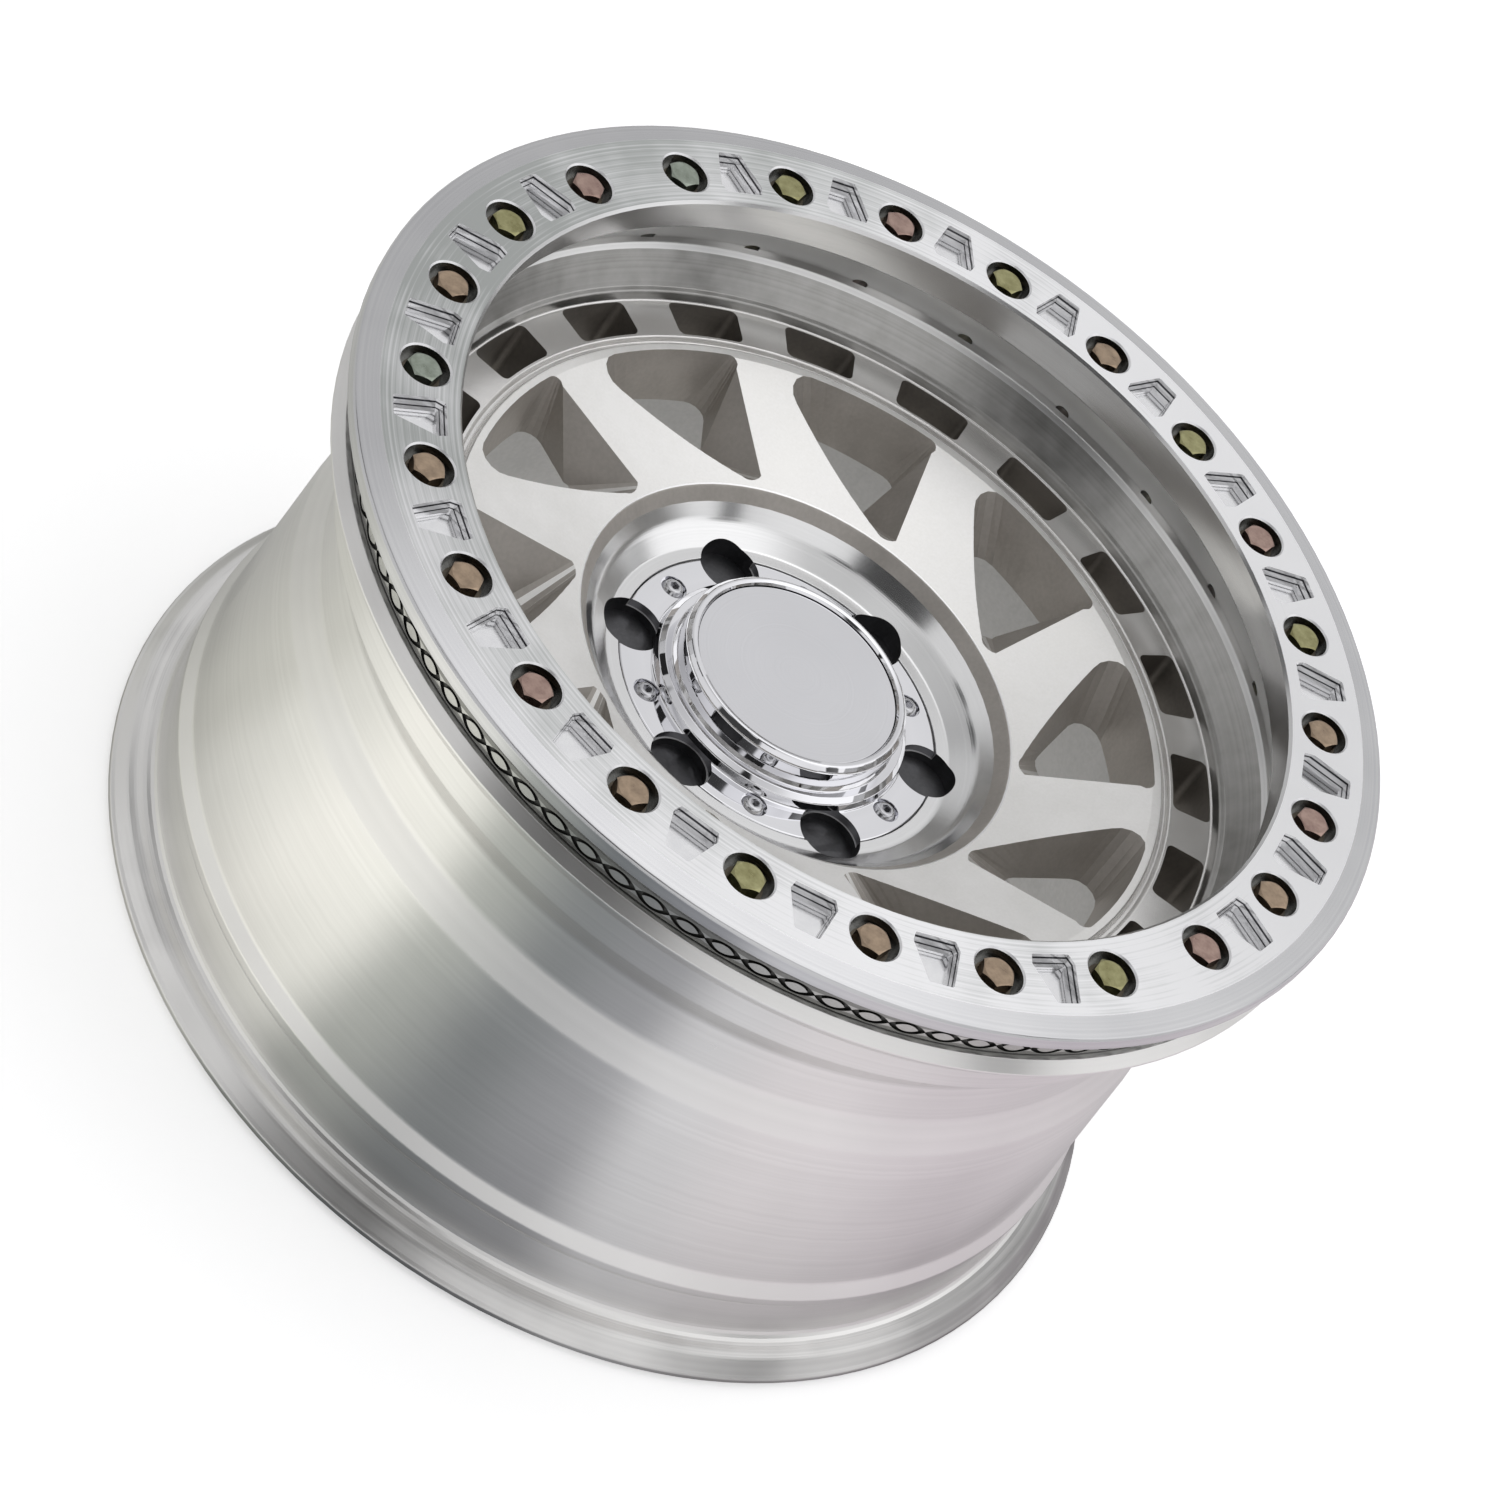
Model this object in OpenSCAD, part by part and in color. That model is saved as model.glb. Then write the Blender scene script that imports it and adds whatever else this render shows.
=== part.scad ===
// Off-road car wheel: a one-piece cast rim and disc, a bolted outer ring and a chromed centre cap.
// The origin is the centre of the hub's mounting face; +Z is the wheel's axis, towards the outer face.
// At rest the wheel lies on its inboard flange with its outer face up.

/* [Rim] */
// Diameter of the bead seats
seat_d = 436.6; // [420:0.1:460]
// Width between the two bead planes
rim_w = 203.2; // [195:0.1:235]
// Distance of the mounting face outboard of the rim's middle
offset_et = 0; // [-6:0.5:6]
// Height of the inboard flange above the bead seat
flange_h = 16.6; // [15:0.1:20]
// Height of the outboard flange above the bead seat
front_flange_h = 13.6; // [12:0.1:16]
// Axial width of each flange, outboard of its bead plane
flange_w = 14.3; // [12:0.1:18]
// Axial width of each bead seat
seat_w = 21.8; // [20:0.1:25]
// Depth of the tyre mounting well below the bead seat
well_drop = 14.3; // [10:0.1:20]
// Wall of the barrel
barrel_wall = 6.8; // [5:0.1:9]

/* [Outer ring] */
// Thickness of the ring's plate
ring_t = 17.5; // [14:0.1:22]
// Depth of the ring's skirt below its plate
skirt_h = 8.2; // [7:0.1:12]
// Reach of the ring past the outboard flange
ring_overhang = 3; // [1:0.1:6]
// Inset of the skirt from the outboard flange's edge
skirt_inset = 6.5; // [4:0.1:8]
// Radial wall of the skirt
skirt_wall = 8.4; // [6.5:0.1:10]
// Width of the ring inside its bolt circle
ring_margin = 16.8; // [15:0.1:20]
// Number of cells in the braid round the skirt
braid_n = 90; // [60:1:110]
// Depth of the braid's grooves
braid_depth = 1.2; // [0.6:0.1:1.8]

/* [Ring bolts] */
// Number of bolts through the ring
bolt_n = 24; // [12:1:28]
// Distance of the bolt circle inside the skirt's outer face
bolt_inset = 19.4; // [18.5:0.1:21]
// Thread diameter of a ring bolt
bolt_d = 8; // [6:0.5:9]
// Length of a ring bolt under its head
bolt_len = 28; // [24:0.5:30]
// Size of the bolt's hexagon across flats
bolt_af = 13; // [11:0.1:15]
// Height of the bolt's head
bolt_head_h = 5.3; // [4:0.1:6]
// Radius of the counterbore round the head
cbore_r = 10.7; // [9.5:0.1:11.5]
// Depth of the head's top below the ring's face
head_sink = 0.5; // [0.2:0.1:1.5]
// Outer radius of a bolt's washer
washer_r = 8.4; // [7.8:0.1:9.2]
// Thickness of a bolt's washer
washer_t = 1.6; // [1:0.1:2]

/* [Ring pockets] */
// Reach of a pocket inside the bolt circle
pocket_in = 10; // [8:0.1:12]
// Reach of a pocket outside the bolt circle
pocket_out = 13; // [10:0.1:15]
// Width of a pocket at its inner end
pocket_in_w = 17.2; // [14:0.1:19]
// Width of a pocket at its widest
pocket_w = 20.4; // [18:0.1:22]
// Width of a pocket at its outer end
pocket_out_w = 10.8; // [8:0.1:13]
// Depth of a pocket
pocket_depth = 6.5; // [4:0.1:9]

/* [Spokes] */
// Height of the slotted band above the hub's mounting face
dish_z = 79.6; // [77:0.1:81]
// Inset of the slotted band's outer edge from the bead seat
dish_inset = 28.1; // [26.5:0.1:30]
// Width of the band between the slots and the spokes
band_w = 5.2; // [4.6:0.1:6]
// Radius of the edge between the spokes and the hub's bowl
bowl_r = 100; // [98:0.1:101.5]
// Fall of the spokes' face towards the hub, for each millimetre of radius
spoke_fall = 0.268; // [0.2:0.005:0.3]
// Thickness of the spokes
spoke_t = 29; // [24:0.5:32]
// Number of windows between the spokes
window_n = 10; // [8:1:10]
// Width of the rim of metal outside the windows
window_margin = 3.6; // [3:0.1:8]

/* [Window outline level with the slotted band] */
// Direction of a window's short side
lead_a = 24.8; // [24:0.1:26]
// Distance of the short side's line from the axis
lead_off = 51.5; // [50:0.1:53]
// Direction of a window's long side
trail_a = 68.35; // [67:0.05:70]
// Distance of the long side's line from the axis
trail_off = 86.7; // [86:0.1:89]
// Outward bow of the long side
side_bow = 2.7; // [0:0.1:3]
// Corner radius at the inner tip
tip_r = 0.5; // [0.2:0.1:3]
// Corner radius at the outer end of the short side
lead_r = 4.4; // [3:0.1:6]
// Corner radius at the outer end of the long side
trail_r = 9.1; // [6:0.1:10]

/* [Window outline at the back of the spokes] */
// Direction of the short side, at the back
back_lead_a = -11.85; // [-13:0.05:-10]
// Distance of the short side's line from the axis, at the back; negative beyond the axis
back_lead_off = -49.4; // [-51:0.1:-48]
// Direction of the long side, at the back
back_trail_a = 66.7; // [65:0.1:68]
// Distance of the long side's line from the axis, at the back
back_trail_off = 93.65; // [92:0.05:95]
// Taper of the outer edge towards the back
back_taper = 3.5; // [1:0.1:5]
// Corner radius at the tip, at the back
back_tip_r = 9.4; // [6:0.1:11]
// Corner radius at the outer end of the short side, at the back
back_lead_r = 7.5; // [5:0.1:9]
// Corner radius at the outer end of the long side, at the back
back_trail_r = 8.7; // [6:0.1:10]

/* [Slots] */
// Number of slots in the band outside the spokes
slot_n = 20; // [10:1:22]
// Radial width of the slots
slot_w = 18; // [14:0.1:19]
// Land between the slots and the band's outer edge
slot_margin = 2.2; // [1.8:0.1:4]
// Angle that one slot covers
slot_a = 10.7; // [8:0.1:12]
// Corner radius of the slots
slot_corner_r = 3; // [2:0.1:4]

/* [Hub] */
// Thickness of the hub at its lug pad
hub_t = 45.8; // [42:0.1:48]
// Radius of the hub behind the spokes
hub_r = 97; // [93:0.1:98]
// Diameter of the centre bore
bore_d = 106.1; // [90:0.1:112]
// Number of wheel studs
lug_n = 6; // [5:1:6]
// Diameter of the lug circle
lug_pcd = 139.7; // [139:0.1:141]
// Diameter of the socket well round each lug nut
lug_well_d = 27.4; // [25:0.1:29]
// Depth of the socket well below the lug pad
lug_well_depth = 8; // [6:0.1:14]
// Diameter of the stud hole
stud_hole_d = 16; // [14:0.1:18]
// Diameter of the valve hole
valve_d = 11.3; // [9:0.1:12]

/* [Centre cap] */
// Radius of the cap's bolted plate
cap_plate_r = 74.1; // [73:0.1:76]
// Thickness of the cap's plate
cap_plate_t = 4; // [3:0.1:5]
// Height of the cap above its plate
cap_h = 18.6; // [16:0.1:22]
// Radius of the cap's drum at its rim
cap_drum_r = 51.6; // [50:0.1:52]
// Wall of the cap
cap_wall = 2.7; // [2:0.1:3.2]
// Radius of the plain disc in the cap
disc_r = 46.2; // [44:0.1:46.5]
// Thickness of the plain disc
disc_t = 2; // [1.5:0.1:2.4]
// Radius of the cap screws' circle
cap_screw_circle_r = 65; // [64.5:0.1:66]
// Thread diameter of a cap screw
cap_screw_d = 6; // [5:0.5:6]
// Length of a cap screw under its head
cap_screw_len = 12; // [10:0.5:16]
// Radius of a cap screw's head
cap_screw_head_r = 5.3; // [4.8:0.1:5.5]

/* [Hidden] */

// Roundness of turned shapes and of the points on drawn arcs
$fn = 96;
arc_steps = 5;
side_steps = 8;
// Reach of a cut past the face that it breaks through
cut = 1;
eps = 0.01;

// Clearances
thread_clear = 0.05;
register_clear = 0.15;
skirt_clear = 0.3;
hole_clear = 0.5;
washer_clear = 0.3;
recess_clear = 0.5;
lug_clear = 0.4;
disc_clear = 0.2;
head_clear = 0.7;

// Angles of the patterns about the axis
bolt_step = 360 / bolt_n;
bolt_a0 = bolt_step / 2;
slot_a0 = 9.4;
bare_pockets = [9, 21];
valve_a = 345;

// Levels, measured from the mounting face
front_plane = rim_w / 2 - offset_et;
rear_plane = -rim_w / 2 - offset_et;
rear_z = rear_plane - flange_w;
shoulder_z = front_plane + flange_w;
land_z = shoulder_z + skirt_h;
face_z = land_z + ring_t;

// Radii of the rim
seat_r = seat_d / 2;
flange_r = seat_r + flange_h;
front_flange_r = seat_r + front_flange_h;
well_r = seat_r - well_drop;
barrel_front_r = seat_r - 7.7;
barrel_mid_r = seat_r - 6.3;
barrel_rear_r = seat_r - 2.3;
hump_r = seat_r + 1.5;
// The bead seats rise by five degrees towards their flanges
seat_low_r = seat_r + 0.5 - seat_w * tan(5);

// Radii of the ring
skirt_r = front_flange_r - skirt_inset;
register_r = skirt_r - skirt_wall;
ring_out_r = front_flange_r + ring_overhang;
bolt_circle_r = skirt_r - bolt_inset;
ring_in_r = bolt_circle_r - ring_margin;
bevel_r = skirt_r - 0.9;
pocket_in_r = bolt_circle_r - pocket_in;
pocket_out_r = bolt_circle_r + pocket_out;

// Radii of the inner side, in front of the disc
throat_r = ring_in_r + 1.8;
lip_r = bolt_circle_r - 2;
step_r = seat_r - dish_inset;
slot_out_r = step_r - slot_margin;
slot_in_r = slot_out_r - slot_w;
groove_r = slot_in_r - 1.4;
spoke_out_r = slot_in_r - band_w;
spoke_flat_r = spoke_out_r - 4.8;
window_out_r = spoke_out_r - window_margin;

// The lug pad, the cap's recess and the screws
recess_r = cap_plate_r + recess_clear;
recess_z = hub_t - 0.2 - cap_plate_t;
plate_z = recess_z + cap_plate_t;
bore_r = bore_d / 2;
lug_r = lug_pcd / 2;
lug_well_r = lug_well_d / 2;
lug_seat_z = hub_t - lug_well_depth;
lug_cone_h = (lug_well_r - stud_hole_d / 2) / tan(30);
cap_top_z = plate_z + cap_h;
disc_z = cap_top_z - 4;
cap_screw_sink = 2.2;
cap_screw_head_h = 3.3;
cap_screw_seat_z = plate_z - cap_screw_sink;
cap_screw_tip_z = cap_screw_seat_z - cap_screw_len;

// The ring bolts
bolt_seat_z = face_z - head_sink - bolt_head_h;
cbore_z = bolt_seat_z - washer_t;
bolt_tip_z = bolt_seat_z - bolt_len;
tap_z = bolt_tip_z - 5;

// The back of the spokes, which is flat
spoke_back_z = dish_z - spoke_t;

// Height of the spokes' face at radius r
function spoke_z(r) = dish_z - spoke_fall * max(0, spoke_flat_r - r);

function unit(v) = v / norm(v);
function angle_of(v) = atan2(v[1], v[0]);
function polar(r, a) = r * [cos(a), sin(a)];

// Points on an arc round c from angle a0 to angle a1
function arc(c, r, a0, a1, n = arc_steps) = [for (i = [0:n]) c + polar(r, a0 + (a1 - a0) * i / n)];

// The point at radius r on a line of direction a that passes the axis at distance off, to its left
function line_point(a, off, r) = polar(off, a + 90) + polar(sqrt(r * r - off * off), a);

// The crossing of two lines, each given by its direction and its distance from the axis
function crossing(a1, off1, a2, off2) =
    let (n1 = polar(1, a1 + 90), n2 = polar(1, a2 + 90), det = cross(n1, n2))
    [(off1 * n2[1] - off2 * n1[1]) / det, (n1[0] * off2 - n2[0] * off1) / det];

// An outline whose corners [x, y, radius] are turned into arcs of that radius
function rounded(pts) = [for (i = [0:len(pts) - 1])
    each corner(pts[(i + len(pts) - 1) % len(pts)], pts[i], pts[(i + 1) % len(pts)])];
function corner(before, at, after) =
    let (p = [at[0], at[1]], r = at[2] == undef ? 0 : at[2])
    r == 0 ? [p] :
    let (u = unit([before[0], before[1]] - p), v = unit([after[0], after[1]] - p),
         half = acos(u * v) / 2, c = p + unit(u + v) * r / sin(half),
         a0 = angle_of(p + u * r / tan(half) - c), a1 = angle_of(p + v * r / tan(half) - c),
         turn = ((a1 - a0) % 360 + 540) % 360 - 180)
    arc(c, r, a0, a0 + turn, arc_steps);

module around(n, a0 = 0) {
    for (i = [0:n - 1])
        rotate([0, 0, a0 + i * 360 / n])
            children();
}

// Section of the cast wheel, from the hub's back face round the rim and back over the disc
module wheel_section() {
    well_front_z = front_plane - 40;
    well_rear_z = front_plane - 64;
    barrel_z = front_plane - 80;
    knuckle_z = front_plane - 94;
    hump_z = rear_plane + seat_w + 5.4;
    inner_r = well_r - barrel_wall;
    polygon(rounded([
        [bore_r, 0],
        [hub_r, 0, 2],
        [hub_r + 1.5, spoke_back_z, 8],
        [inner_r, spoke_back_z, 9],
        [inner_r, well_rear_z, 9],
        [barrel_front_r - barrel_wall, barrel_z, 9],
        [barrel_rear_r - barrel_wall, hump_z + 6, 9],
        [seat_r - barrel_wall, hump_z - 2, 9],
        [seat_r - barrel_wall, rear_plane + 5, 8],
        [seat_r + 4.2, rear_z, 1.5],
        [flange_r - 3.5, rear_z, 2],
        [flange_r, rear_z + 3, 2],
        [flange_r, rear_plane - 9, 1.5],
        [flange_r - 1.6, rear_plane - 7.6, 1.2],
        [seat_r + 9.5, rear_plane - 1.5, 8],
        [seat_r + 0.5, rear_plane, 6],
        [seat_low_r, rear_plane + seat_w, 1.5],
        [hump_r, rear_plane + seat_w + 3.2, 2.2],
        [hump_r, hump_z + 2, 2.2],
        [barrel_rear_r, hump_z + 9, 5],
        [barrel_mid_r, knuckle_z, 20],
        [barrel_front_r, barrel_z, 8],
        [well_r, well_rear_z, 9],
        [well_r, well_front_z, 9],
        [seat_low_r - 4, front_plane - seat_w - 3.3, 2],
        [seat_low_r, front_plane - seat_w, 1.5],
        [seat_r + 0.5, front_plane, 4],
        [seat_r + 8, front_plane + 1.5, 6],
        [front_flange_r, front_plane + 9, 2.5],
        [front_flange_r, shoulder_z - 4.2, 0.8],
        [front_flange_r - 4.2, shoulder_z, 0.5],
        [register_r, shoulder_z],
        [register_r, land_z, 0.5],
        [throat_r, land_z],
        [lip_r, land_z - 20, 3],
        [lip_r + 0.3, land_z - 24.3, 1],
        [lip_r - 1.8, land_z - 26.5, 1.2],
        [step_r + 2.3, dish_z + 5.1, 1.2],
        [step_r, dish_z + 4.4, 1.4],
        [step_r - 1.4, dish_z, 1],
        [groove_r, dish_z, 0.8],
        [groove_r - 1, dish_z - 2.6, 0.8],
        [spoke_out_r + 0.8, dish_z - 2.6, 0.8],
        [spoke_out_r, dish_z + 0.4, 1.2],
        [spoke_flat_r, dish_z],
        [bowl_r, spoke_z(bowl_r), 3],
        [bowl_r - 10, hub_t + 6, 14],
        [bowl_r - 19.5, hub_t, 3],
        [recess_r, hub_t, 0.3],
        [recess_r, recess_z],
        [bore_r, recess_z],
    ]));
}

// Outline of a window at one level: a swept triangle with an arc for its outer side. Its short and
// long sides follow lines of direction a1 and a2 that pass the axis at distances off1 and off2.
function window_outline(a1, off1, a2, off2, bow, out_r, r_tip, r_lead, r_trail) =
    let (tip = crossing(a1, r_tip - off1, a2, -r_tip - off2),
         lead = line_point(a1, r_lead - off1, out_r - r_lead),
         trail = line_point(a2, -r_trail - off2, out_r - r_trail),
         side_top = trail + polar(r_trail, a2 + 90),
         side_end = tip + polar(r_tip, a2 + 90))
    concat(
        arc(tip, r_tip, a2 + 90, a1 + 270),
        arc(lead, r_lead, a1 - 90, angle_of(lead)),
        [for (i = [1:side_steps - 1])
            polar(out_r, angle_of(lead) + (angle_of(trail) - angle_of(lead)) * i / side_steps)],
        arc(trail, r_trail, angle_of(trail), a2 + 90),
        [for (i = [1:side_steps - 1])
            let (t = i / side_steps)
            side_top + (side_end - side_top) * t + polar(4 * bow * t * (1 - t), a2 + 90)]
    );

// A solid with straight sides between two outlines that have as many points each
module between(bottom, bottom_z, top, top_z) {
    n = len(bottom);
    polyhedron(
        points = concat([for (p = bottom) [p[0], p[1], bottom_z]], [for (p = top) [p[0], p[1], top_z]]),
        faces = concat(
            [[for (i = [0:n - 1]) i]],
            [[for (i = [n - 1:-1:0]) n + i]],
            [for (i = [0:n - 1]) [i, n + i, n + (i + 1) % n]],
            [for (i = [0:n - 1]) [i, n + (i + 1) % n, (i + 1) % n]]
        )
    );
}

// A window: it narrows and turns towards the back
module window() {
    between(
        window_outline(back_lead_a, back_lead_off, back_trail_a, back_trail_off, 0,
                       window_out_r - back_taper, back_tip_r, back_lead_r, back_trail_r),
        spoke_back_z - cut,
        window_outline(lead_a, lead_off, trail_a, trail_off, side_bow,
                       window_out_r, tip_r, lead_r, trail_r),
        dish_z + 2 * cut
    );
}

// Outline of a slot: a piece of a ring with rounded corners
module slot_outline() {
    h = slot_a / 2;
    r = slot_corner_r;
    out_lo = line_point(-h, r, slot_out_r - r);
    out_hi = line_point(h, -r, slot_out_r - r);
    in_hi = line_point(h, -r, slot_in_r + r);
    in_lo = line_point(-h, r, slot_in_r + r);
    polygon(concat(
        arc(out_lo, r, -h - 90, angle_of(out_lo)),
        arc([0, 0], slot_out_r, angle_of(out_lo), angle_of(out_hi)),
        arc(out_hi, r, angle_of(out_hi), h + 90),
        arc(in_hi, r, h + 90, 180 + angle_of(in_hi)),
        arc([0, 0], slot_in_r, angle_of(in_hi), angle_of(in_lo)),
        arc(in_lo, r, 180 + angle_of(in_lo), 270 - h)
    ));
}

// A lug hole: the nut's socket well, its conical seat and the stud's hole
module lug_hole() {
    translate([0, 0, lug_seat_z])
        cylinder(r = lug_well_r, h = dish_z - lug_seat_z);
    translate([0, 0, lug_seat_z - lug_cone_h])
        cylinder(r1 = stud_hole_d / 2, r2 = lug_well_r, h = lug_cone_h);
    translate([0, 0, -cut])
        cylinder(d = stud_hole_d, h = lug_seat_z - lug_cone_h + cut + eps);
}

// The valve's hole through the wall between the front dish and the well, with a flat seat at each end
module valve_hole() {
    valve_r = (step_r + well_r) / 2 + 6;
    translate([valve_r, 0, dish_z + 1])
        rotate([0, 135, 0]) {
            cylinder(d = valve_d, h = 60, center = true);
            translate([0, 0, 4])
                cylinder(r = 10, h = 30);
            translate([0, 0, -34])
                cylinder(r = 10, h = 30);
        }
}

module wheel() {
    color([0.80, 0.80, 0.79])
    difference() {
        rotate_extrude()
            wheel_section();
        around(window_n)
            window();
        around(slot_n, slot_a0)
            translate([0, 0, spoke_back_z - cut])
                linear_extrude(spoke_t + 2 * cut)
                    slot_outline();
        around(lug_n)
            translate([lug_r, 0, 0])
                lug_hole();
        around(lug_n, 180 / lug_n)
            translate([cap_screw_circle_r, 0, cap_screw_tip_z - 2])
                cylinder(r = cap_screw_d / 2 + thread_clear, h = cap_screw_len + 2 + cut);
        around(bolt_n, bolt_a0)
            translate([bolt_circle_r, 0, tap_z])
                cylinder(r = bolt_d / 2 + thread_clear, h = land_z - tap_z + cut);
        rotate([0, 0, valve_a])
            valve_hole();
    }
}

// Section of the ring: a thick plate with a bevelled rim and a skirt over the wheel's shoulder
module ring_section() {
    polygon(rounded([
        [ring_in_r + 1.2, face_z],
        [ring_in_r, face_z - 1.2],
        [throat_r, land_z, 0.5],
        [register_r + register_clear, land_z],
        [register_r + register_clear, shoulder_z + skirt_clear],
        [skirt_r, shoulder_z + skirt_clear, 0.3],
        [skirt_r, land_z, 0.5],
        [ring_out_r - 0.9, face_z - 8.6, 0.6],
        [ring_out_r, face_z - 7.7, 0.6],
        [ring_out_r, face_z - 3, 1.2],
        [ring_out_r - 0.8, face_z - 1.7, 1],
        [bevel_r, face_z, 1.5],
    ]));
}

// A tapered pocket in the ring's face: its outline, then its end walls, then the lean of its sides
module pocket() {
    mid_r = pocket_in_r + 4.5;
    lean = 1.6;
    side_a = atan2((pocket_w - pocket_out_w) / 2, pocket_out_r - mid_r);
    side_l = pocket_out_r - mid_r + 8;
    difference() {
        intersection() {
            translate([0, 0, face_z - pocket_depth])
                linear_extrude(pocket_depth + cut)
                    polygon(rounded([
                        [pocket_in_r, -pocket_in_w / 2, 0.8],
                        [mid_r, -pocket_w / 2, 1.5],
                        [pocket_out_r, -pocket_out_w / 2, 1.5],
                        [pocket_out_r, pocket_out_w / 2, 1.5],
                        [mid_r, pocket_w / 2, 1.5],
                        [pocket_in_r, pocket_in_w / 2, 0.8],
                    ]));
            rotate([90, 0, 0])
                linear_extrude(2 * pocket_w, center = true)
                    polygon([
                        [pocket_in_r - 0.4, face_z + 2 * cut],
                        [pocket_in_r + 1.8, face_z - pocket_depth],
                        [pocket_out_r - 2, face_z - pocket_depth - eps],
                        [pocket_out_r + 0.5, face_z + 2 * cut],
                    ]);
        }
        for (s = [-1, 1])
            translate([mid_r, s * pocket_w / 2, face_z])
                rotate([0, 0, -s * side_a])
                    translate([-4, 0, 0])
                        rotate([90, 0, 90])
                            linear_extrude(side_l)
                                polygon([
                                    [s * cut, 0],
                                    [0, 0],
                                    [-s * lean, -pocket_depth - cut],
                                    [s * cut, -pocket_depth - cut],
                                ]);
    }
}

// A lens-shaped prism that stands out along +X, where two crossing cylinders overlap
module lens(len, high, depth) {
    r = (len * len + high * high) / (4 * high);
    intersection() {
        translate([0, 0, high / 2 - r])
            rotate([0, 90, 0])
                cylinder(r = r, h = depth);
        translate([0, 0, r - high / 2])
            rotate([0, 90, 0])
                cylinder(r = r, h = depth);
    }
}

// The braid's groove round one cell
module braid_cell() {
    pitch = 2 * PI * skirt_r / braid_n;
    translate([skirt_r - braid_depth, 0, (land_z + shoulder_z) / 2 + 0.2])
        difference() {
            lens(pitch + 0.6, skirt_h - 1.9, braid_depth + cut);
            translate([-cut, 0, 0])
                lens(0.62 * pitch, skirt_h - 4.3, braid_depth + 3 * cut);
        }
}

module beadlock_ring() {
    color([0.84, 0.84, 0.84])
    difference() {
        rotate_extrude()
            ring_section();
        around(bolt_n, bolt_a0)
            translate([bolt_circle_r, 0, 0]) {
                translate([0, 0, land_z - cut])
                    cylinder(r = bolt_d / 2 + hole_clear, h = ring_t + 2 * cut);
                translate([0, 0, cbore_z])
                    cylinder(r = cbore_r, h = ring_t);
                translate([0, 0, face_z - 0.7])
                    cylinder(r1 = cbore_r - eps, r2 = cbore_r + 0.7 + eps, h = 0.7 + eps);
            }
        for (i = [0:bolt_n - 1])
            if (len(search(i, bare_pockets)) == 0)
                rotate([0, 0, i * bolt_step])
                    pocket();
        around(braid_n)
            braid_cell();
    }
}

// A hexagon bolt: chamfered head, washer face and plain shank of the thread's diameter
module ring_bolt() {
    corner_r = bolt_af / sqrt(3);
    face_r = bolt_af / 2 * 0.95;
    translate([0, 0, bolt_seat_z])
        intersection() {
            cylinder(r = corner_r, h = bolt_head_h, $fn = 6);
            rotate_extrude()
                polygon([
                    [0, 0],
                    [face_r, 0],
                    [face_r, 0.4],
                    [corner_r + 1, 0.4],
                    [corner_r + 1, bolt_head_h - (corner_r + 1 - face_r) * tan(30)],
                    [face_r, bolt_head_h],
                    [0, bolt_head_h],
                ]);
        }
    translate([0, 0, bolt_tip_z])
        rotate_extrude()
            polygon([
                [0, 0],
                [bolt_d / 2 - 1, 0],
                [bolt_d / 2, 1],
                [bolt_d / 2, bolt_len + eps],
                [0, bolt_len + eps],
            ]);
}

module ring_bolts() {
    color([0.62, 0.55, 0.42])
    for (i = [0:bolt_n - 1])
        rotate([0, 0, bolt_a0 + i * bolt_step])
            translate([bolt_circle_r, 0, 0])
                rotate([0, 0, 23 * i])
                    ring_bolt();
}

module ring_washers() {
    color([0.45, 0.42, 0.38])
    around(bolt_n, bolt_a0)
        translate([bolt_circle_r, 0, cbore_z])
            difference() {
                cylinder(r = washer_r, h = washer_t);
                translate([0, 0, -cut])
                    cylinder(r = bolt_d / 2 + washer_clear, h = washer_t + 2 * cut);
            }
}

// Section of the cap: bolted plate, stepped foot, drum, raised rim and the disc's recess
module cap_section() {
    inner_r = cap_drum_r - cap_wall - 0.4;
    floor_z = disc_z - cap_wall;
    polygon(rounded([
        [0, disc_z],
        [disc_r + disc_clear, disc_z],
        [disc_r + disc_clear, cap_top_z - 1.6, 0.3],
        [disc_r + 0.9, cap_top_z - 0.5, 0.4],
        [disc_r + 3, cap_top_z, 1.6],
        [cap_drum_r, cap_top_z - 2.4, 1.8],
        [cap_drum_r - 0.4, plate_z + 7],
        [cap_drum_r + 0.8, plate_z + 5.2, 0.8],
        [cap_drum_r + 4, plate_z + 5.6, 0.7],
        [cap_drum_r + 6.4, plate_z + 3.8, 1],
        [cap_drum_r + 7.4, plate_z, 1],
        [cap_plate_r, plate_z, 0.8],
        [cap_plate_r, recess_z],
        [inner_r, recess_z],
        [inner_r, floor_z, 2],
        [0, floor_z],
    ]));
}

module centre_cap() {
    color([0.88, 0.88, 0.90])
    difference() {
        rotate_extrude()
            cap_section();
        around(lug_n)
            translate([lug_r, 0, recess_z - cut])
                cylinder(r = lug_well_r + lug_clear, h = cap_plate_t + 2 * cut);
        around(lug_n, 180 / lug_n)
            translate([cap_screw_circle_r, 0, 0]) {
                translate([0, 0, recess_z - cut])
                    cylinder(r = cap_screw_d / 2 + hole_clear / 2, h = cap_plate_t + 2 * cut);
                translate([0, 0, cap_screw_seat_z])
                    cylinder(r = cap_screw_head_r + head_clear, h = cap_plate_t);
            }
    }
}

module cap_disc() {
    color([0.86, 0.86, 0.88])
    translate([0, 0, disc_z])
        rotate_extrude()
            polygon(rounded([
                [0, 0],
                [disc_r, 0],
                [disc_r, disc_t, 0.4],
                [0, disc_t],
            ]));
}

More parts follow.
